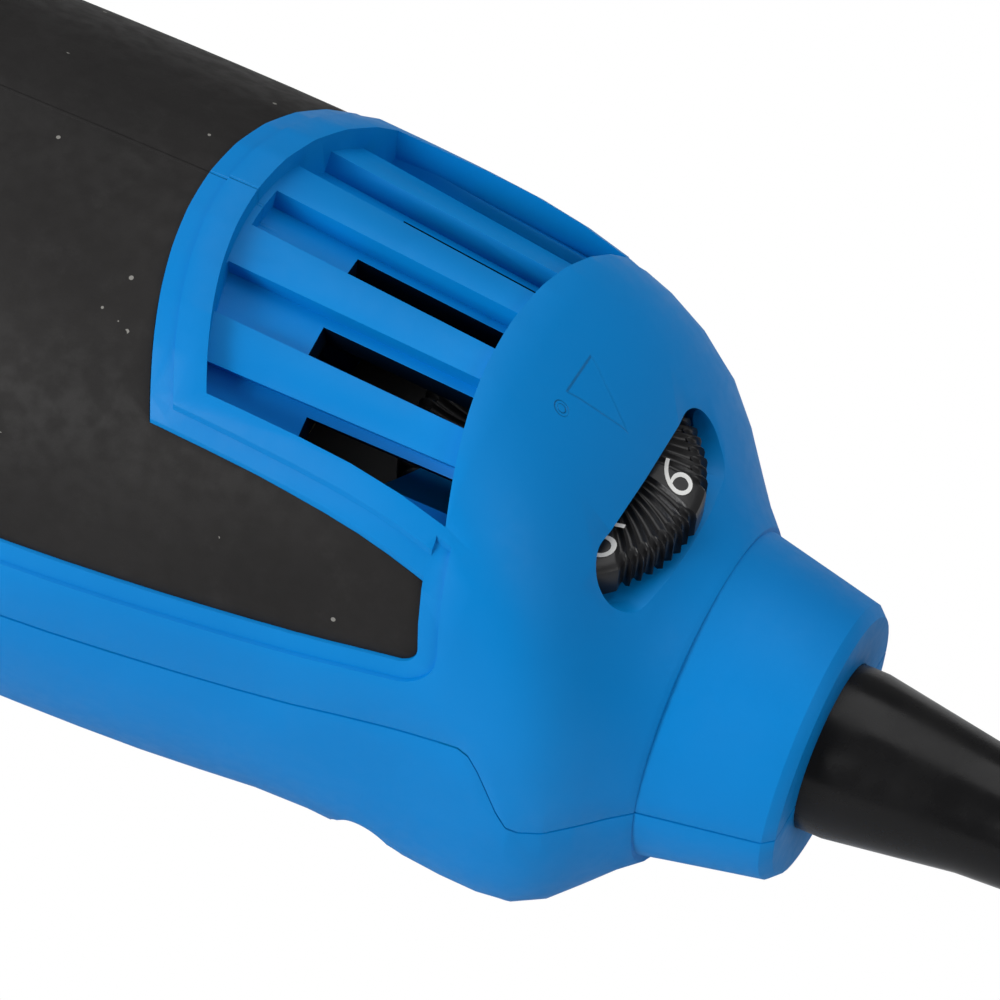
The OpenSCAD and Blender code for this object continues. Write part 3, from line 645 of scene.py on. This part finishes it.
BLUE = MouldedPlastic(
    "blue_moulding", rgb(0.0, 0.215, 0.60), rgb(0.0, 0.19, 0.54),
    roughness=0.46, grain=0.014, collar=(209.5, 211.5), marks=True, specular=0.13,
)
HOLLOW = MouldedPlastic(
    "shaded_hollow", rgb(0.0, 0.006, 0.018), rgb(0.0, 0.004, 0.012), roughness=0.7, specular=0.05,
)
BLACK = MouldedPlastic(
    "black_moulding", rgb(0.012, 0.012, 0.013), rgb(0.018, 0.018, 0.02), roughness=0.38,
)
DIAL_BLACK = MouldedPlastic(
    "dial_moulding", rgb(0.010, 0.010, 0.011), rgb(0.015, 0.015, 0.016), roughness=0.34,
)
WHITE = MouldedPlastic("white_nylon", rgb(0.72, 0.71, 0.67), rgb(0.62, 0.61, 0.57), roughness=0.45)
CREAM = MouldedPlastic("cream_dip", rgb(0.66, 0.58, 0.34), rgb(0.58, 0.5, 0.3), roughness=0.25)
PRINT = MouldedPlastic("white_print", rgb(0.78, 0.78, 0.76), rgb(0.7, 0.7, 0.68), roughness=0.5, grain=0.004)
CARBON = MouldedPlastic("pressed_carbon", rgb(0.012, 0.012, 0.012), rgb(0.03, 0.03, 0.03), roughness=0.6)
GRIP = SoftRubber("grip_rubber", ridge=True)
RUBBER = SoftRubber("soft_rubber", dust=0.15)
CABLE = CableRubber("cable_rubber")
STEEL = Metal("bright_steel", rgb(0.56, 0.56, 0.57))
NICKEL = Metal("nickel_plate", rgb(0.66, 0.64, 0.6), roughness=0.16)
BRASS = Metal("drawn_brass", rgb(0.72, 0.5, 0.2))
IRON = StackedIron("stacked_iron")
COPPER = WoundWire("copper_wire")

Finish = MouldedPlastic | SoftRubber | CableRubber | Metal | StackedIron | WoundWire

SLOT_FINISH: dict[str, Finish] = {
    "blue_plastic": BLUE, "grip_rubber": RUBBER, "black_plastic": BLACK, "bright_steel": STEEL,
    "dark_iron": IRON, "copper_wire": COPPER, "white_plastic": WHITE, "brass_tube": BRASS,
    "carbon": CARBON, "dial_plastic": DIAL_BLACK, "cream_plastic": CREAM, "cord_rubber": CABLE,
    "plated_brass": NICKEL,
}


class Paintbox:
    """Makes each finish's material once."""

    def __init__(self) -> None:
        """Starts with no material made."""
        self.made: dict[str, bpy.types.Material] = {}

    def dress(self, piece: bpy.types.Object, finish: Finish) -> None:
        """Gives a piece one finish all over.

        Args:
            piece: The piece.
            finish: Its finish.
        """
        if finish.name not in self.made:
            self.made[finish.name] = finish.make()
        piece.data.materials.clear()
        piece.data.materials.append(self.made[finish.name])


PAINT = Paintbox()


def publish(piece: bpy.types.Object, finish: Finish, body: str) -> bpy.types.Object:
    """Dresses a finished piece and makes it ride on its body.

    Args:
        piece: The piece.
        finish: Its finish.
        body: The CAD body that carries it.

    Returns:
        The piece.
    """
    PAINT.dress(piece, finish)
    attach(piece, body)
    log.info("%s: a %s in %s, on %s", piece.name, piece.type.lower(), finish.name, body)
    return piece


def dressed_node(
    node: str, finish: Finish | None = None, bevel: float = 0.0, angle: float = 35
) -> bpy.types.Object:
    """Stands a smooth-shaded, softly edged copy in for a CAD node.

    Args:
        node: The CAD node's name.
        finish: Its finish, or None for its slot's usual one.
        bevel: The width of the rounded edges, in millimetres.
        angle: The least angle of a sharp edge, in degrees.

    Returns:
        The copy.
    """
    copy = merged_copy(node, node + "_skin")
    if bevel:
        add_bevel(copy, bevel, angle)
        apply_modifiers(copy)
    smooth(copy, angle)
    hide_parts(node)
    return publish(copy, finish or SLOT_FINISH[slot_of(node)], body_of(node))


# ---------------------------------------------------------------- stage and camera


@dataclass
class Studio:
    """A pale floor, soft lamps and the camera."""

    azimuth: float = 20.5
    elevation: float = 48.3
    roll: float = 7.1
    distance: float = 0.42
    focal: float = 206.1
    aim: Vector = field(default_factory=lambda: mm(193, 0, 0))
    shift: tuple[float, float] = (1.17, 2.16)
    floor_x: float = 0.2
    floor_gap: float = 0.0002

    def camera(self) -> None:
        """Places the camera over the tail, looking forward and down."""
        turn, tilt, roll = (math.radians(v) for v in (self.azimuth, self.elevation, self.roll))
        ahead = Vector((-math.sin(turn) * math.cos(tilt), math.cos(turn) * math.cos(tilt), -math.sin(tilt)))
        level = Vector((math.cos(turn), math.sin(turn), 0))
        above = level.cross(ahead)
        right = level * math.cos(roll) + above * math.sin(roll)
        up = above * math.cos(roll) - level * math.sin(roll)
        data = bpy.data.cameras.new("camera")
        data.lens = self.focal
        data.sensor_width = 36
        data.clip_start = 0.01
        data.clip_end = 20
        eye = bpy.data.objects.new("camera", data)
        bpy.context.scene.collection.objects.link(eye)
        turned = Matrix((right, up, -ahead)).transposed().to_4x4()
        look_at = self.aim + (right * self.shift[0] + up * self.shift[1]) * MM
        turned.translation = look_at - ahead * self.distance
        eye.matrix_world = turned
        bpy.context.scene.camera = eye

    def floor(self) -> None:
        """Lays a wide floor under the tool, which looks pure white and gives a soft light back."""
        begin()
        level = CAD_BOX[0][2]
        bpy.ops.mesh.primitive_plane_add(size=6, location=(self.floor_x, 0, level - self.floor_gap))
        plane = settle(bpy.context.view_layer.objects.active, "floor")
        s = Shader("white_floor")
        s.finish(Base_Color=rgb(0.7, 0.7, 0.7), Roughness=0.8)
        glow = s.node("Emission", Color=rgb(1, 1, 1), Strength=1.0).outputs[0]
        seen = s.node("LightPath").outputs["Is Camera Ray"]
        mixed = s.tree.nodes.new("ShaderNodeMixShader")
        for socket, value in zip(mixed.inputs, (seen, s.surface.outputs[0], glow)):
            s.feed(socket, value)
        s.feed(s.tree.nodes["Material Output"].inputs["Surface"], mixed.outputs[0])
        plane.data.materials.append(s.material)

    def lamp(self, name: str, place: Vector, size: float, power: float) -> None:
        """Hangs a square soft lamp that faces the tool's tail.

        Args:
            name: The lamp's name.
            place: Where it hangs, in metres from the point that the camera looks at.
            size: The length of its sides, in metres.
            power: Its power, in watts.
        """
        data = bpy.data.lights.new(name, "AREA")
        data.size = size
        data.energy = power
        lamp = bpy.data.objects.new(name, data)
        bpy.context.scene.collection.objects.link(lamp)
        lamp.location = self.aim + place
        lamp.rotation_euler = (-place).to_track_quat("-Z", "Y").to_euler()

    def light(self) -> None:
        """Hangs the lamps and sets the soft light of the room."""
        self.lamp("key", Vector((-0.45, -0.85, 0.5)), 0.5, 9)
        self.lamp("top", Vector((-0.1, 0.3, 0.9)), 0.9, 4.6)
        self.lamp("tail", Vector((0.9, -0.1, 0.6)), 0.5, 2.4)
        world = bpy.data.worlds.new("room")
        bpy.context.scene.world = world
        world.use_nodes = True
        backdrop = world.node_tree.nodes["Background"]
        backdrop.inputs["Color"].default_value = rgb(1, 1, 1)
        backdrop.inputs["Strength"].default_value = 0.2
        bpy.context.scene.view_settings.view_transform = "Standard"


# ---------------------------------------------------------------- mains lead


def eased(value: float, start: float, end: float) -> float:
    """Rises softly from 0 to 1 between two values."""
    share = min(max((value - start) / (end - start), 0.0), 1.0)
    return share * share * (3 - 2 * share)


class Track(Enum):
    """The two tracks of the hank, by their distance from its middle line in millimetres."""

    INNER = 19.2
    OUTER = 25.6


@dataclass
class MainsLead:
    """The mains lead with its bend sleeve, its hank, the tie round the hank and the plug."""

    diameter: float = 6.4
    route: Sequence[tuple[float, float, float]] = (
        (262, 0, -7.5), (266, 0, -7.5), (271, -0.9, -8), (278, -3.4, -9.4), (284, -7.5, -11.7),
        (289, -12.8, -14.6), (294, -18.1, -17.4), (300, -22.2, -19.7), (307.5, -24.7, -21.1),
        (315, -25.6, -21.6),
    )
    near: float = 333
    far: float = 381
    low_row: float = -21.6
    arc_steps: int = 15
    edge: float = 0.3
    plug_entry: tuple[float, float, float] = (444, -11, -12.6)
    winding: Sequence[Track] = (
        Track.OUTER, Track.INNER, Track.INNER, Track.OUTER, Track.OUTER, Track.INNER, Track.INNER,
    )

    def entry(self) -> list[Vector]:
        """Works out the smooth run from the sleeve to the hank.

        Returns:
            Points in millimetres, a few between each two of the route's.
        """
        knots = [Vector(point) for point in self.route]
        ends = [knots[0] * 2 - knots[1], *knots, knots[-1] + Vector((6, 0, 0))]
        points = []
        for before, first, last, after in zip(ends, ends[1:], ends[2:], ends[3:]):
            for t in (0, 0.25, 0.5, 0.75):
                points.append(0.5 * (
                    2 * first + (last - before) * t
                    + (2 * before - 5 * first + 4 * last - after) * t * t
                    + (3 * first - before - 3 * last + after) * t * t * t
                ))
        return points[: -4] + [knots[-1]]

    def arc(self, center: Vector, radius: float, start: float, rise: float = 0.0) -> list[Vector]:
        """Works out one fold, a half turn that may climb to the next row.

        Args:
            center: The fold's centre, in millimetres.
            radius: Its radius.
            start: The angle where it starts, in degrees.
            rise: How far it climbs.

        Returns:
            The fold's points.
        """
        points = []
        for k in range(self.arc_steps + 1):
            share = k / self.arc_steps
            angle = math.radians(start + 180 * share)
            lift = rise * eased(share, 0.15, 1)
            points.append(center + Vector((radius * math.cos(angle), radius * math.sin(angle), lift)))
        return points

    def hank(self) -> tuple[list[Vector], float]:
        """Winds the hank, one turn after another.

        Returns:
            Its points, and the height of the row that it ends in.
        """
        points = []
        height = self.low_row
        for track, following in zip(self.winding, (*self.winding[1:], Track.OUTER)):
            radius = track.value
            points += self.arc(Vector((self.far, 0, height)), radius, -90)
            middle = (radius + following.value) / 2
            aside = (radius - following.value) / 2
            x, rise = self.near, 0.0
            if track is following:
                x += self.diameter / 2 if track is Track.INNER else -self.diameter / 2
                rise = self.diameter
            points += self.arc(Vector((x, aside, height)), middle, 90, rise)
            height += rise
        return points, height

    def leaving(self, height: float) -> list[Vector]:
        """Works out the run from the hank to the plug."""
        end_x, end_y, end_z = self.plug_entry
        start_y = -Track.OUTER.value
        points = []
        for x in np.linspace(self.far + 2, end_x, 22):
            y = start_y + (end_y - start_y) * eased(x, self.far + 2, self.far + 50)
            z = height + (end_z - height) * eased(x, self.far + 13, self.far + 59)
            points.append(Vector((x, y, z)))
        return points

    def centreline(self) -> list[Vector]:
        """Works out the lead's whole route, in millimetres."""
        wound, height = self.hank()
        return self.entry() + wound + self.leaving(height)

    def make_cord(self) -> tuple[bpy.types.Object, float]:
        """Lays the lead along its route, as one round tube.

        Returns:
            The lead and its length, in metres.
        """
        route = [mm(*point) for point in self.centreline()]
        length = sum((b - a).length for a, b in zip(route, route[1:]))
        data = bpy.data.curves.new("mains_lead", "CURVE")
        data.dimensions = "3D"
        spline = data.splines.new("POLY")
        spline.points.add(len(route) - 1)
        for point, place in zip(spline.points, route):
            point.co = (*place, 1)
        data.bevel_depth = self.diameter / 2 * MM
        data.bevel_resolution = 6
        data.use_fill_caps = True
        lead = bpy.data.objects.new("mains_lead", data)
        bpy.context.scene.collection.objects.link(lead)
        log.info("mains lead: %.3f m, %d points", length, len(route))
        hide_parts("cord_lead", "cord_tail", "cord_coil")
        publish(lead, CABLE, "root")
        return lead, length

    def build(self) -> None:
        """Builds the lead and what is on it."""
        lead, length = self.make_cord()
        carried = ("coil_tie", "plug_body", "plug_pins", "cord_sleeve")
        others = [dressed_node(node, bevel=self.edge) for node in carried]


# ---------------------------------------------------------------- housing


@dataclass
class Housing:
    """The two housing halves and the soft grip moulded over them."""

    edge: float = 0.3
    sharp: float = 30
    floor_start: float = 171.4
    floor_radius: float = 21.6
    floor_slope: float = 0.125
    inner_radius: float = 22.0
    hollow_end: float = 201

    def shade_hollow(self, shell: bpy.types.Object) -> None:
        """Darkens the faces inside, behind the louvres' floor, where no light reaches.

        Args:
            shell: The upper half.
        """
        shell.data.materials.append(HOLLOW.make())
        for face in shell.data.polygons:
            x, y, z = (value / MM for value in face.center)
            floor = min(self.floor_radius - self.floor_slope * (x - self.floor_start), self.inner_radius)
            inward = Vector((0, y, z)).normalized().dot(face.normal) < 0.3
            if x < self.hollow_end and inward and math.hypot(y, z) < floor:
                face.material_index = 1

    def build(self) -> None:
        """Builds the halves and the grip."""
        self.shade_hollow(dressed_node("top_shell", BLUE, self.edge, self.sharp))
        dressed_node("bottom_shell", BLUE, self.edge, self.sharp)
        dressed_node("grip", GRIP, self.edge, self.sharp)


@dataclass
class SpindleLock:
    """The spindle lock's spring."""

    press: float = 2.1
    sharp: float = 40

    def build(self) -> None:
        """Builds the spring as a smooth-shaded copy with a mesh of its own."""
        spring = dressed_node("lock_spring", STEEL, angle=self.sharp)
        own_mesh(spring)


# ---------------------------------------------------------------- speed dial


@dataclass
class SpeedDial:
    """The thumb wheel: a scalloped rim, slanted ribs between the numbers and white numbers."""

    spacing: float = 54.6
    first: float = 12.35
    sweep: float = 2.5
    groove_step: float = 5.2
    grooves_per_gap: int = 8
    number_r: float = 8.75
    numbers: str = "654321"
    number_size: float = 4.9
    number_turn: float = 148
    number_lean: float = 0.22
    steps: int = 720
    crown: float = 0.95
    crown_r: float = 4
    bore: float = 3.05
    rim_cut: float = 0.6
    face_cut: float = 0.34
    cut_width: float = 2.6

    def __post_init__(self) -> None:
        """Reads the wheel's size and place from the CAD node."""
        low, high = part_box("speed_dial")
        self.radius = (high[0] - low[0]) / 2 / MM
        self.center = Vector(((high[0] + low[0]) / 2, 0, 0)) / MM
        self.low = low[2] / MM
        self.edge = high[2] / MM - 0.7
        self.gaps = [
            self.first - self.spacing * (k + 0.5) + (j - (self.grooves_per_gap - 1) / 2) * self.groove_step
            for k in range(-1, len(self.numbers) - 1) for j in range(self.grooves_per_gap)
        ]

    def groove(self, angle: float) -> float:
        """Gives how deep the nearest groove is at an angle.

        Args:
            angle: The angle where the numbers stand, in degrees.

        Returns:
            0 between grooves, rising to 1 in the middle of one.
        """
        nearest = min(abs((angle - gap + 180) % 360 - 180) for gap in self.gaps)
        return max(0.0, 1 - (nearest / self.cut_width) ** 2)

    def profile(self, cut: float) -> list[tuple[float, float]]:
        """Draws the wheel's section, from the bore out under it, round the rim and back over its face.

        Args:
            cut: How deep the nearest groove is, from 0 to 1.

        Returns:
            Each point's distance from the middle and its height.
        """
        rim = self.radius - self.rim_cut * cut
        inner = [9.8 - 0.35 * k for k in range(17)]
        return [
            (self.bore, self.low), (rim - 0.5, self.low), (rim, self.low + 0.45), (rim, self.edge - 0.75),
            (rim - 0.12, self.edge - 0.35), (rim - 0.42, self.edge - 0.1), (rim - 0.75, self.edge),
            *((r, self.top(r) - self.face_cut * cut * eased(r, 4.6, 5.6)) for r in inner),
            (self.bore, self.top(self.crown_r)),
        ]

    def top(self, radius: float) -> float:
        """Gives the height of the wheel's face at a distance from its middle."""
        share = min(max((self.radius - radius) / (self.radius - self.crown_r), 0), 1)
        return self.edge + self.crown * share

    def wheel(self) -> bpy.types.Object:
        """Models the wheel as one closed ring of faces.

        Returns:
            The wheel.
        """
        mesh = bmesh.new()
        rings = []
        for k in range(self.steps):
            angle = 360 * k / self.steps
            section = self.profile(self.groove(angle))
            face_edge = section[6][0]
            ring = []
            for r, z in section:
                turn = math.radians(angle - self.sweep * (min(r, face_edge) - self.number_r))
                point = self.center + Vector((r * math.cos(turn), r * math.sin(turn), z))
                ring.append(mesh.verts.new(point * MM))
            rings.append(ring)
        for here, there in zip(rings, rings[1:] + rings[:1]):
            for j in range(len(here)):
                k = (j + 1) % len(here)
                mesh.faces.new((here[j], there[j], there[k], here[k]))
        bmesh.ops.recalc_face_normals(mesh, faces=mesh.faces)
        data = bpy.data.meshes.new("dial_wheel")
        mesh.to_mesh(data)
        mesh.free()
        piece = bpy.data.objects.new("dial_wheel", data)
        bpy.context.scene.collection.objects.link(piece)
        smooth(piece, 32)
        return piece

    def number(self, digit: str, angle: float) -> bpy.types.Object:
        """Prints one number on the wheel's face.

        Args:
            digit: The number.
            angle: Its angle about the wheel, in degrees.

        Returns:
            The number.
        """
        begin()
        bpy.ops.object.text_add()
        text = bpy.context.view_layer.objects.active
        text.data.body = digit
        text.data.align_x = "CENTER"
        text.data.align_y = "CENTER"
        text.data.size = self.number_size * MM
        text.data.shear = self.number_lean
        text.data.extrude = 0.02 * MM
        text.data.offset = -0.06 * MM
        text.data.resolution_u = 6
        turn = math.radians(angle)
        out = Vector((math.cos(turn), math.sin(turn), 0))
        slope = self.crown / (self.radius - self.crown_r)
        normal = (Vector((0, 0, 1)) + out * slope).normalized()
        up = Matrix.Rotation(math.radians(angle + self.number_turn), 3, "Z") @ Vector((1, 0, 0))
        up = (up - normal * up.dot(normal)).normalized()
        side = up.cross(normal)
        place = Matrix((side, up, normal)).transposed().to_4x4()
        height = Vector((0, 0, self.top(self.number_r) + 0.03))
        place.translation = (self.center + out * self.number_r + height) * MM
        text.matrix_world = place
        return settle(text, "dial_number_" + digit)

    def build(self) -> None:
        """Builds the wheel and its numbers."""
        body = body_of("speed_dial")
        wheel = self.wheel()
        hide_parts("speed_dial")
        publish(wheel, DIAL_BLACK, body)
        for k, digit in enumerate(self.numbers):
            publish(self.number(digit, self.first - k * self.spacing), PRINT, body)


# ---------------------------------------------------------------- the whole tool


def dress_rest() -> None:
    """Dresses each CAD node that still shows and has no finish."""
    for node, piece in frame["nodes"].items():
        if piece.hide_render:
            continue
        finish = SLOT_FINISH[slot_of(node)]
        PAINT.dress(piece, finish)
        log.info("%s: the packed mesh in %s, on %s", node, finish.name, body_of(node))


def main() -> None:
    """Builds the whole tool in order."""
    logging.basicConfig(level=logging.INFO, format="%(name)s: %(message)s")
    studio = Studio()
    studio.camera()
    MainsLead().build()
    Housing().build()
    SpeedDial().build()
    SpindleLock().build()
    dress_rest()
    studio.floor()
    studio.light()


if __name__ == "__main__":
    main()
